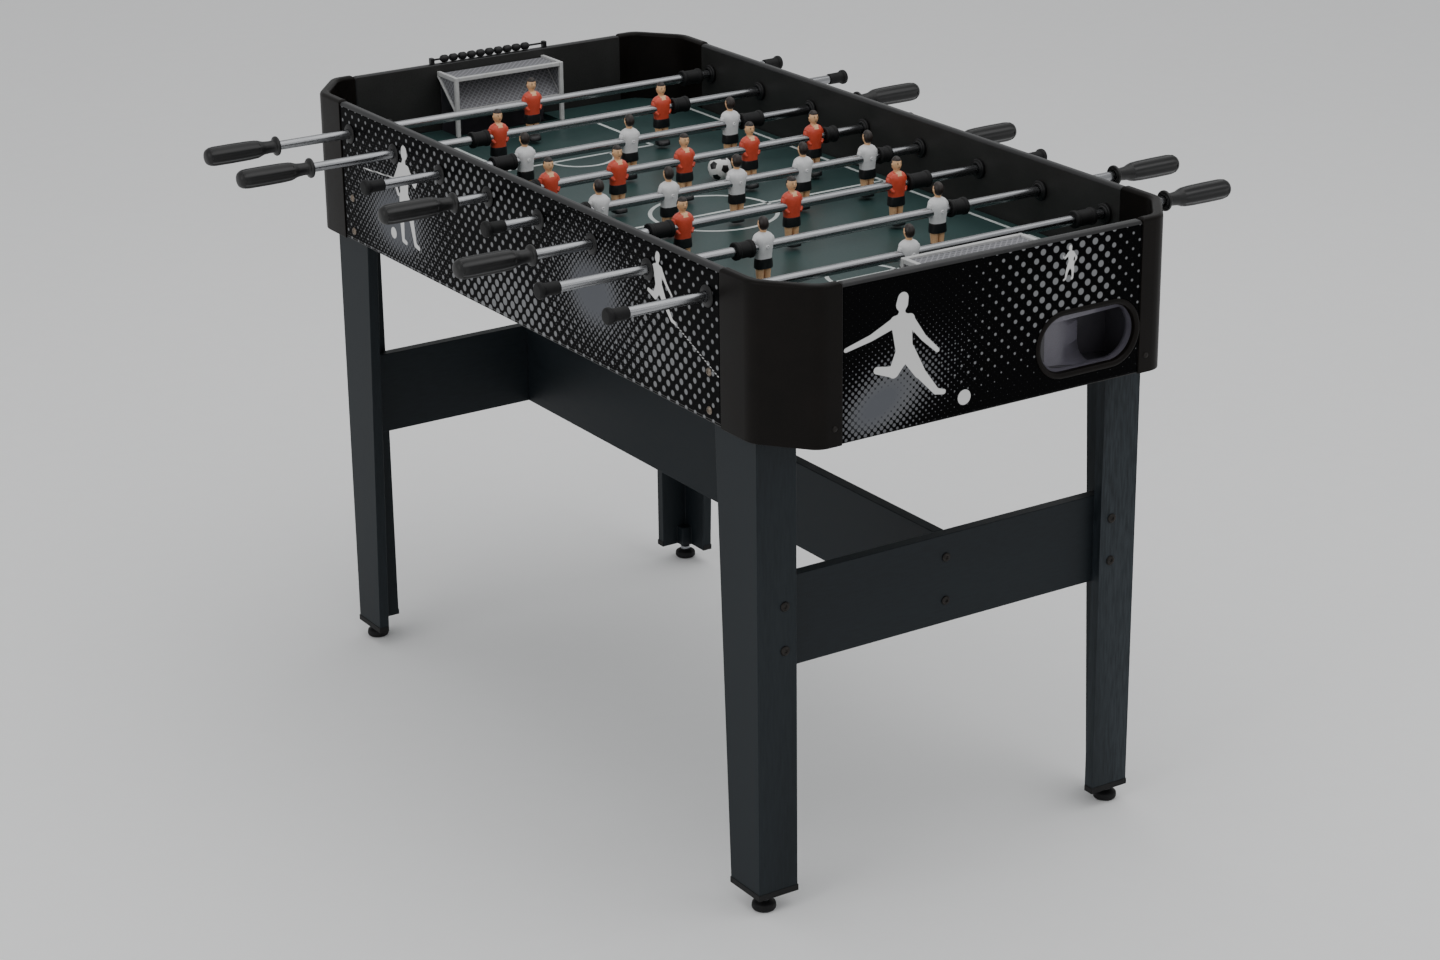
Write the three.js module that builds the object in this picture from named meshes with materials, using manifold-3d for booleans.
// Foosball table: a four-foot cabinet on four L-section legs, with eight rods that carry
// twenty-two playing figures in a 1-2-5-3 line-up for each team.
//
// Millimetres, +Z up. X runs along the table, Y across it, and every rod lies along Y. The origin is on
// the floor under the middle of the cabinet. Each rod slides along Y and turns about its own axis.
import * as THREE from 'three';
import { mergeVertices } from 'three/addons/utils/BufferGeometryUtils.js';
import Module from 'manifold-3d';

const wasm = await Module();
wasm.setup();

// ---- driving dimensions -------------------------------------------------------------------------------
const GAP = 0.3; // clearance between pieces that touch
const LENGTH = 1219; // cabinet along X
const WIDTH = 610; // cabinet along Y
const RIM = 826; // top of the cabinet walls above the floor
const CABINET = 195; // height of the cabinet walls
const WALL = 12; // thickness of the side and end boards
const FIELD = 728; // playing surface above the floor
const FIELD_BOARD = 9; // thickness of the playing board
const ROD_Z = 786; // rod axis above the floor
const ROD_PITCH = 130; // distance between neighbouring rods
const ROD_R = 6.35; // rod radius
const BORE_R = 6.95; // radius of the holes that the rod goes through
const BEARING_BORE_R = 7.3; // radius of the rod holes in the side boards

const COVER_FLAT = 62; // straight part of a corner cover along a side board
const COVER_END = 31; // straight part of a corner cover along an end board
const ROUND_X = 65; // the cut corner's reach along X
const ROUND_Y = 52; // the cut corner's reach along Y
const SOFT = 13; // how far the rounding of the cut corner's bends reaches
const COVER_PROUD = 1.5; // how far a cover stands out from the boards
const COVER_WALL = 13.5; // thickness of a corner cover

const LEG_X = 535; // outer face of a leg's end board
const LEG_SET = 1.6; // how far a leg stands inside its side board
const LEG_TOP = 717; // the legs reach up inside the cabinet
const LEG_BOTTOM = 22; // underside of the leg
const LEG_BOARD = 15; // thickness of the leg's two boards
const LEG_WIDE = 89; // side board of the leg inside the cabinet
const LEG_NARROW = 64; // side board of the leg at the floor
const LEG_END = 57; // end board of the leg
const LEG_BLOCK = 30; // corner block that takes the leveller
const LEVELLER_INSET = 19; // leveller axis from the leg's two outer faces
const STUD_R = 4;

const STRETCHER_Z = 320; // underside of the stretchers
const STRETCHER_H = 118;
const STRETCHER_T = 16;

const GOAL_X = 541; // front plane of the goal frame
const GOAL_HALF = 90; // half of the goal's width
const GOAL_TOP = 816;
const GOAL_MID = 768; // top of the ball opening
const GOAL_BAR = 6;
const SLOT_X = 552; // inner edge of the slot that the ball drops through
const TRAY = 2.5; // wall of the moulded ball tray
const TRAY_HIGH = 685; // tray floor at its far end
const TRAY_LOW = 643; // tray floor at the return cup
const CUP_Y = 142; // middle of the return cup
const CUP_Z = 690;
const CUP_HALF = 75;
const CUP_R = 38;

const HANDLE = 108; // length of a handle grip
const HANDLE_BORE = 60; // depth of the rod's seat in the grip
const CAP = 30; // length of the rubber cap on a rod's other end
const CAP_R = 8;
const CAP_FLANGE_R = 10.5;
const BALL_R = 17;
const BEAD_R = 5.4;
const BEAD_PITCH = 15;
const BEADS = 10;

// A rod with so many figures: their spacing, and how far the grip and the cap stand out of the cabinet
// when the rod is in the middle of its travel.
const KINDS = {
  1: { spacing: 0, grip: 205, cap: 125 },
  2: { spacing: 266, grip: 222, cap: 148 },
  3: { spacing: 165, grip: 184, cap: 104 },
  5: { spacing: 105, grip: 153, cap: 74 },
};
// The rods from -X to +X: team, figures, and how far the rod is pulled towards its grip.
const RODS = [
  { team: 'red', men: 1, pulled: 14 },
  { team: 'red', men: 2, pulled: 10 },
  { team: 'white', men: 3, pulled: -10 },
  { team: 'red', men: 5, pulled: 4 },
  { team: 'white', men: 5, pulled: -6 },
  { team: 'red', men: 3, pulled: 8 },
  { team: 'white', men: 2, pulled: -6 },
  { team: 'white', men: 1, pulled: -14 },
];

const HALF_L = LENGTH / 2;
const HALF_W = WIDTH / 2;
const BASE = RIM - CABINET;
const INNER_X = HALF_L - WALL;
const INNER_Y = HALF_W - WALL;
const COVER_X = HALF_L - ROUND_X - COVER_FLAT; // where a side board meets its corner covers
const COVER_Y = HALF_W - ROUND_Y - COVER_END; // where an end board meets its corner covers
const LEG_Y = INNER_Y - LEG_SET;

// ---- materials ----------------------------------------------------------------------------------------
const finish = (color, roughness, metalness = 0) =>
  new THREE.MeshStandardMaterial({ color, roughness, metalness });
const MATERIALS = {
  panel: finish(0x0f1011, 0.45),
  cover: finish(0x1d1918, 0.5),
  field: finish(0x2f5a55, 0.4),
  leg: finish(0x2f3539, 0.55),
  goal: finish(0xd4d4d2, 0.45),
  chrome: finish(0xb9b9b9, 0.22, 1),
  grip: finish(0x1c1c1e, 0.5),
  rubber: finish(0x151515, 0.8),
  red: finish(0xc4402a, 0.45),
  white: finish(0xdcdcdc, 0.45),
  ball: finish(0xe8e8e6, 0.35),
};

// ---- shape helpers ------------------------------------------------------------------------------------
const outline = (points) => new THREE.Shape(points.map(([a, b]) => new THREE.Vector2(a, b)));

// Points on an arc, from one angle to another in degrees, with both ends.
const arc = (cx, cy, rx, ry, from, to, steps) =>
  Array.from({ length: steps + 1 }, (_, i) => {
    const t = THREE.MathUtils.degToRad(from + ((to - from) * i) / steps);
    return [cx + rx * Math.cos(t), cy + ry * Math.sin(t)];
  });

const box = (x0, x1, y0, y1, z0, z1) =>
  new THREE.BoxGeometry(Math.abs(x1 - x0), Math.abs(y1 - y0), Math.abs(z1 - z0)).translate(
    (x0 + x1) / 2,
    (y0 + y1) / 2,
    (z0 + z1) / 2,
  );

const extrude = (shape, depth) => new THREE.ExtrudeGeometry(shape, { depth, bevelEnabled: false });

// An outline in plan, raised from z0 to z1.
const fromPlan = (points, z0, z1) => extrude(outline(points), z1 - z0).translate(0, 0, z0);

// An outline in X and Z, from y0 to y1.
const fromSide = (shape, y0, y1) => extrude(shape, y1 - y0).rotateX(Math.PI / 2).translate(0, y1, 0);

// An outline in Y and Z, from x0 to x1.
const fromEnd = (shape, x0, x1) =>
  extrude(shape, x1 - x0).rotateX(Math.PI / 2).rotateZ(Math.PI / 2).translate(x0, 0, 0);

const lathe = (profile, sides) =>
  new THREE.LatheGeometry(profile.map(([r, y]) => new THREE.Vector2(r, y)), sides);

// A closed mesh as a solid for joining and cutting.
function solid(geometry) {
  const bare = geometry.clone();
  bare.deleteAttribute('normal');
  bare.deleteAttribute('uv');
  const merged = mergeVertices(bare, 1e-4);
  return new wasm.Manifold(
    new wasm.Mesh({
      numProp: 3,
      vertProperties: new Float32Array(merged.attributes.position.array),
      triVerts: new Uint32Array(merged.index.array),
    }),
  );
}

function fromSolid(body) {
  const { vertProperties, triVerts } = body.getMesh();
  const geometry = new THREE.BufferGeometry();
  geometry.setAttribute('position', new THREE.BufferAttribute(vertProperties, 3));
  geometry.setIndex(new THREE.BufferAttribute(triVerts, 1));
  geometry.computeVertexNormals();
  return geometry;
}

const join = (...parts) => fromSolid(parts.map(solid).reduce((a, b) => a.add(b)));
const cut = (part, ...tools) => fromSolid(tools.map(solid).reduce((a, b) => a.subtract(b), solid(part)));
const common = (a, b) => fromSolid(solid(a).intersect(solid(b)));

const table = new THREE.Group();

function place(name, geometry, material, position = [0, 0, 0], turn = 0) {
  const mesh = new THREE.Mesh(geometry, MATERIALS[material]);
  mesh.name = name;
  mesh.position.set(...position);
  mesh.rotation.z = turn;
  table.add(mesh);
}

// ---- cabinet ------------------------------------------------------------------------------------------
const rodX = (index) => (index - (RODS.length - 1) / 2) * ROD_PITCH;

// The cut corner at +X and +Y, so far inside the boards' outer faces, from its side board to its end
// board. The two bends where the cut meets the boards are rounded by a curve that starts and ends SOFT
// from the bend.
function cutCorner(inside) {
  const turn = Math.atan2(ROUND_Y, ROUND_X);
  const along = [Math.cos(turn), -Math.sin(turn)];
  const first = [HALF_L - ROUND_X - inside * Math.tan(turn / 2), HALF_W - inside];
  const second = [HALF_L - inside, HALF_W - ROUND_Y - inside * Math.tan(Math.PI / 4 - turn / 2)];
  const bend = ([x, y], [ax, ay], [bx, by]) =>
    new THREE.QuadraticBezierCurve(
      new THREE.Vector2(x - SOFT * ax, y - SOFT * ay),
      new THREE.Vector2(x, y),
      new THREE.Vector2(x + SOFT * bx, y + SOFT * by),
    ).getPoints(4);
  return [...bend(first, [1, 0], along), ...bend(second, along, [0, -1])].map(({ x, y }) => [x, y]);
}

// Playing board: a rectangle with cut corners and a notch at each end that the ball drops through.
function playfield() {
  const x = INNER_X - GAP;
  const y = INNER_Y - GAP;
  const slot = GOAL_HALF - 4;
  const corner = cutCorner(COVER_WALL - COVER_PROUD + 0.5).reverse();
  const end = [[x, -slot], [SLOT_X, -slot], [SLOT_X, slot], [x, slot]];
  const corners = [[x, corner[0][1]], ...corner, [corner.at(-1)[0], y]];
  const mirrored = corners.map(([a, b]) => [-a, b]).reverse();
  const half = [...end, ...corners, ...mirrored];
  return fromPlan([...half, ...half.map(([a, b]) => [-a, -b])], FIELD - FIELD_BOARD, FIELD);
}

// Side board with one hole for each rod.
function sideBoard(side) {
  const shape = outline([
    [-COVER_X + GAP, BASE], [COVER_X - GAP, BASE], [COVER_X - GAP, RIM], [-COVER_X + GAP, RIM],
  ]);
  RODS.forEach((_, i) => {
    const hole = arc(rodX(i), ROD_Z, BEARING_BORE_R, BEARING_BORE_R, 0, -330, 11);
    shape.holes.push(outline(hole));
  });
  return side < 0 ? fromSide(shape, -HALF_W, -INNER_Y) : fromSide(shape, INNER_Y, HALF_W);
}

// End board with the long round-ended hole of the ball return.
function endBoard() {
  const y = COVER_Y - GAP;
  const shape = outline([[-y, BASE], [y, BASE], [y, RIM], [-y, RIM]]);
  const reach = CUP_HALF - CUP_R;
  shape.holes.push(
    outline([
      ...arc(CUP_Y + reach, CUP_Z, CUP_R, CUP_R, 90, -90, 10),
      ...arc(CUP_Y - reach, CUP_Z, CUP_R, CUP_R, -90, -270, 10),
    ]),
  );
  return fromEnd(shape, INNER_X, HALF_L);
}

// Corner cover: one thickness of moulding that follows the cut corner, drawn for +X and +Y.
function cornerCover(sx, sy) {
  const x1 = HALF_L + COVER_PROUD;
  const y1 = HALF_W + COVER_PROUD;
  const ring = [
    [COVER_X, y1],
    ...cutCorner(-COVER_PROUD),
    [x1, COVER_Y],
    [x1 - COVER_WALL, COVER_Y],
    ...cutCorner(COVER_WALL - COVER_PROUD).reverse(),
    [COVER_X, y1 - COVER_WALL],
  ];
  const points = ring.map(([x, y]) => [sx * x, sy * y]);
  return fromPlan(points, BASE - COVER_PROUD, RIM + COVER_PROUD);
}

place('playfield', playfield(), 'field');
place('side_panel_front', sideBoard(-1), 'panel');
place('side_panel_rear', sideBoard(1), 'panel');
place('end_panel_right', endBoard(), 'panel');
place('end_panel_left', endBoard(), 'panel', [0, 0, 0], Math.PI);

// ---- legs and stretchers ------------------------------------------------------------------------------
// Two boards at a right angle, with a bored block in their corner for the leveller's stud. The side board
// narrows on its inner edge from the cabinet down to the floor.
function leg(sx, sy) {
  const side = outline([
    [sx * LEG_X, LEG_BOTTOM],
    [sx * LEG_X, LEG_TOP],
    [sx * (LEG_X - LEG_WIDE), LEG_TOP],
    [sx * (LEG_X - LEG_WIDE), BASE],
    [sx * (LEG_X - LEG_NARROW), LEG_BOTTOM],
  ]);
  const ys = [sy * LEG_Y, sy * (LEG_Y - LEG_BOARD)].sort((a, b) => a - b);
  const endBoardBox = box(
    sx * LEG_X, sx * (LEG_X - LEG_BOARD), sy * LEG_Y, sy * (LEG_Y - LEG_END), LEG_BOTTOM, LEG_TOP,
  );
  const block = box(
    sx * (LEG_X - 1), sx * (LEG_X - 1 - LEG_BLOCK), sy * (LEG_Y - 1), sy * (LEG_Y - 1 - LEG_BLOCK),
    LEG_BOTTOM, LEG_BOTTOM + LEG_BLOCK,
  );
  const bore = lathe([[0, -1], [STUD_R + 0.5, -1], [STUD_R + 0.5, 19], [0, 19]], 12)
    .rotateX(Math.PI / 2)
    .translate(sx * (LEG_X - LEVELLER_INSET), sy * (LEG_Y - LEVELLER_INSET), LEG_BOTTOM);
  return cut(join(fromSide(side, ys[0], ys[1]), endBoardBox, block), bore);
}

// Round foot with a threaded stud that goes up into the leg.
function leveller() {
  const profile = [
    [0, 0], [14, 0], [15.5, 3], [15, 9], [9, 13], [7, LEG_BOTTOM - GAP], [STUD_R, LEG_BOTTOM - GAP],
    [STUD_R, LEG_BOTTOM + 17], [0, LEG_BOTTOM + 17],
  ];
  return lathe(profile, 12).rotateX(Math.PI / 2);
}

// Two end stretchers and the long one between them, bolted together as one H.
function stretcherFrame() {
  const x1 = LEG_X - LEG_BOARD - GAP;
  const x0 = x1 - STRETCHER_T;
  const y = LEG_Y - LEG_BOARD - GAP;
  const z1 = STRETCHER_Z + STRETCHER_H;
  const t = STRETCHER_T / 2;
  return join(
    box(-x1, -x0, -y, y, STRETCHER_Z, z1),
    box(x0, x1, -y, y, STRETCHER_Z, z1),
    box(-x0 - 1, x0 + 1, -t, t, STRETCHER_Z, z1),
  );
}

const CORNERS = { front_left: [-1, -1], front_right: [1, -1], rear_left: [-1, 1], rear_right: [1, 1] };
for (const [corner, [sx, sy]] of Object.entries(CORNERS)) {
  const footAt = [sx * (LEG_X - LEVELLER_INSET), sy * (LEG_Y - LEVELLER_INSET), 0];
  place(`corner_cover_${corner}`, cornerCover(sx, sy), 'cover');
  place(`leg_${corner}`, leg(sx, sy), 'leg');
  place(`leveller_${corner}`, leveller(), 'rubber', footAt);
}
place('stretcher_frame', stretcherFrame(), 'leg');

// ---- goals with their ball returns --------------------------------------------------------------------
// Drawn for the +X end. The frame stands on the playing surface, a back plate goes down through the slot,
// and the tray under the board slopes to the return cup in the end board.
function goal() {
  const back = INNER_X - GAP;
  const g = GOAL_HALF;
  const b = GOAL_BAR;
  const foot = FIELD + GAP;
  const under = FIELD - FIELD_BOARD - GAP;
  const reach = g - 5;
  const right = CUP_Y + CUP_HALF + 2;
  const wedge = outline([[GOAL_X, GOAL_MID], [GOAL_X, GOAL_MID - b], [back, GOAL_TOP - b], [back, GOAL_TOP]]);
  const floor = outline([
    [-reach, TRAY_HIGH], [-reach, TRAY_HIGH - TRAY], [right, TRAY_LOW - TRAY], [right, TRAY_LOW],
  ]);
  const sides = [-1, 1].flatMap((s) => {
    const [y0, y1] = [s * g, s * (g - b)].sort((p, q) => p - q);
    return [
      box(GOAL_X, GOAL_X + b, y0, y1, foot, GOAL_TOP),
      box(GOAL_X, back, y0, y1, GOAL_TOP - b, GOAL_TOP),
      fromSide(wedge, y0, y1),
    ];
  });
  const x0 = SLOT_X - TRAY - GAP;
  return join(
    ...sides,
    box(GOAL_X, GOAL_X + b, -g, g, GOAL_TOP - b, GOAL_TOP),
    box(GOAL_X, GOAL_X + b, -g, g, GOAL_MID - b, GOAL_MID),
    fromSide(wedge, -g, g),
    box(back - TRAY, back, -reach, reach, TRAY_HIGH - 20, GOAL_TOP),
    fromEnd(floor, x0, back),
    fromEnd(outline([[-reach, TRAY_HIGH - 1], [right, TRAY_LOW - 1], [right, under], [-reach, under]]),
      x0, x0 + TRAY),
    box(x0, back, -reach, TRAY - reach, TRAY_HIGH - 1, under),
    box(x0, back, right - TRAY, right, TRAY_LOW - 1, under),
  );
}

place('goal_right', goal(), 'goal');
place('goal_left', goal(), 'goal', [0, 0, 0], Math.PI);

// ---- rods, grips and figures --------------------------------------------------------------------------
// Drawn with the grip towards +Y and the figures facing -X, about the rod's axis at the cabinet's middle.
// The red team's rods are turned half round.
function rod({ grip, cap }, pulled) {
  const tip = -HALF_W - cap + pulled;
  const end = HALF_W + grip + pulled - HANDLE + HANDLE_BORE - 2;
  return lathe([
    [0, tip], [CAP_R, tip], [CAP_FLANGE_R, tip + 2], [CAP_FLANGE_R, tip + 7], [CAP_R, tip + 8],
    [CAP_R, tip + CAP], [ROD_R, tip + CAP], [ROD_R, end], [0, end],
  ], 12);
}

// Grip with a round collar and a neck on the rod's side, bored to take the rod.
function grip() {
  const points = [
    [BORE_R, 0], [13.6, 0], [13.6, 4], [9, 6], [9.4, 22], [12.6, 32], [13.2, 60], [12.8, 96], [8, HANDLE],
    [0, HANDLE], [0, HANDLE_BORE], [BORE_R, HANDLE_BORE], [BORE_R, 0],
  ];
  return lathe(points, 12);
}

// Figure: where the silhouette from the side and the silhouette from the front meet, with the rod's hole
// through its chest. It faces -X, and its feet hang 53 mm below the rod.
function figure() {
  const profile = outline([
    [-13, -53], [8, -53], [9, -44], [6, -40], [7, -27], [9, -16], [10.5, 0], [9, 14], [4.5, 19],
    [8, 24], [7, 34], [0, 38], [-6, 36], [-8, 26], [-4.5, 19], [-9, 14], [-10.5, 0], [-9, -16],
    [-7, -27], [-6, -40], [-13, -46],
  ]);
  const rightHalf = [
    [10, -53], [10, -44], [9, -27], [11.5, -25], [11, -14], [16, -2], [15, 9], [11, 17], [4.5, 19],
    [7.5, 25], [6.5, 33],
  ];
  const leftHalf = rightHalf.map(([a, b]) => [-a, b]).reverse();
  const bodyShape = common(
    fromSide(profile, -20, 20),
    fromEnd(outline([...rightHalf, [0, 38], ...leftHalf]), -20, 20),
  );
  const bore = lathe([[0, -20], [BORE_R, -20], [BORE_R, 20], [0, 20]], 12);
  return cut(bodyShape, bore);
}

const gripShape = grip();
const figureShape = figure();
RODS.forEach(({ team, men, pulled }, i) => {
  const kind = KINDS[men];
  const sign = team === 'red' ? -1 : 1;
  const turn = team === 'red' ? Math.PI : 0;
  const x = rodX(i);
  place(`rod_${i + 1}`, rod(kind, pulled), 'chrome', [x, 0, ROD_Z], turn);
  place(`handle_${i + 1}`, gripShape, 'grip', [x, sign * (HALF_W + kind.grip + pulled - HANDLE), ROD_Z], turn);
  for (let m = 0; m < men; m++) {
    const y = (m - (men - 1) / 2) * kind.spacing + sign * pulled;
    place(`man_${i + 1}_${m + 1}`, figureShape, team, [x, y, ROD_Z], turn);
  }
});

// ---- ball and scorer ----------------------------------------------------------------------------------
// The ball lies half way between the third and fourth rods, where no figure's foot reaches it.
place('ball', new THREE.IcosahedronGeometry(BALL_R, 2), 'ball', [rodX(2.5), 95, FIELD + BALL_R + GAP]);

// Ten scoring beads in a row on the left end's rim.
function scoreBeads() {
  const start = (-BEADS * BEAD_PITCH) / 2;
  const bumps = Array.from({ length: BEADS }, (_, i) => {
    const y = start + i * BEAD_PITCH;
    return [[2.6, y + 1], [BEAD_R, y + 4], [BEAD_R, y + 11], [2.6, y + 14]];
  }).flat();
  return lathe([[0, start + 1], ...bumps, [0, -start - 1]], 8);
}
place('score_beads', scoreBeads(), 'rubber', [-(HALF_L - WALL / 2), -6, RIM + BEAD_R + GAP]);

export default table;
